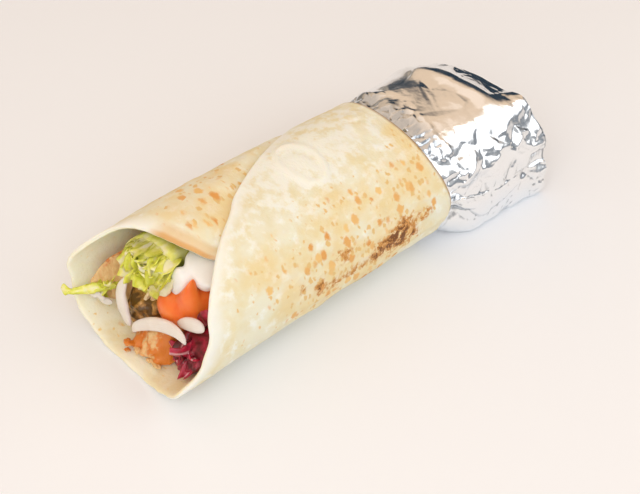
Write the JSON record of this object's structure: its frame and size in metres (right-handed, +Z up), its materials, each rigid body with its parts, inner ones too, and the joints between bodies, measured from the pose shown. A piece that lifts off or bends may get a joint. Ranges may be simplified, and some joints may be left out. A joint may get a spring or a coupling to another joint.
{
  "type": "piadina wrap",
  "caption": "Rolled flatbread wrap lying on its flat underside, open at one end over its salad, chicken and sauce filling, the other end packed in crumpled foil.",
  "frame": {"origin": "centre of the bounding box's bottom, on the surface that the wrap lies on", "axes": "+X along the roll from its open mouth to its foil end, +Z up, -Y towards the side that the flap wraps"},
  "size_m": [0.2384, 0.0892, 0.0653],
  "materials": {
    "flatbread": "soft griddled dough, matt, pale cream with golden and brown griddle spots",
    "foil": "thin crumpled kitchen foil, bright side out",
    "lettuce": "shredded lettuce, fresh and slightly glossy",
    "chicken": "grilled chicken, golden crust",
    "mushroom": "fried mushroom, brown and moist",
    "radicchio": "shredded radicchio, purple with white ribs",
    "tomato": "cut tomato, wet",
    "sauce": "white yoghurt sauce, smooth and glossy",
    "onion": "raw white onion slice, translucent and moist",
    "cabbage": "pale green cabbage slice"
  },
  "bodies": {
    "root": {"flatbread": "flatbread", "foil": "foil", "lettuce": "lettuce", "lettuce_tip": "lettuce", "chicken_left": "chicken", "chicken_front": "chicken", "side_slice": "chicken", "mushroom": "mushroom", "radicchio": "radicchio", "radicchio_leaf": "radicchio", "tomato": "tomato", "sauce": "sauce", "cabbage_slice": "cabbage", "onion_upright": "onion", "onion_arc": "onion", "onion_end": "onion", "onion_lip": "onion"}
  },
  "joints": []
}
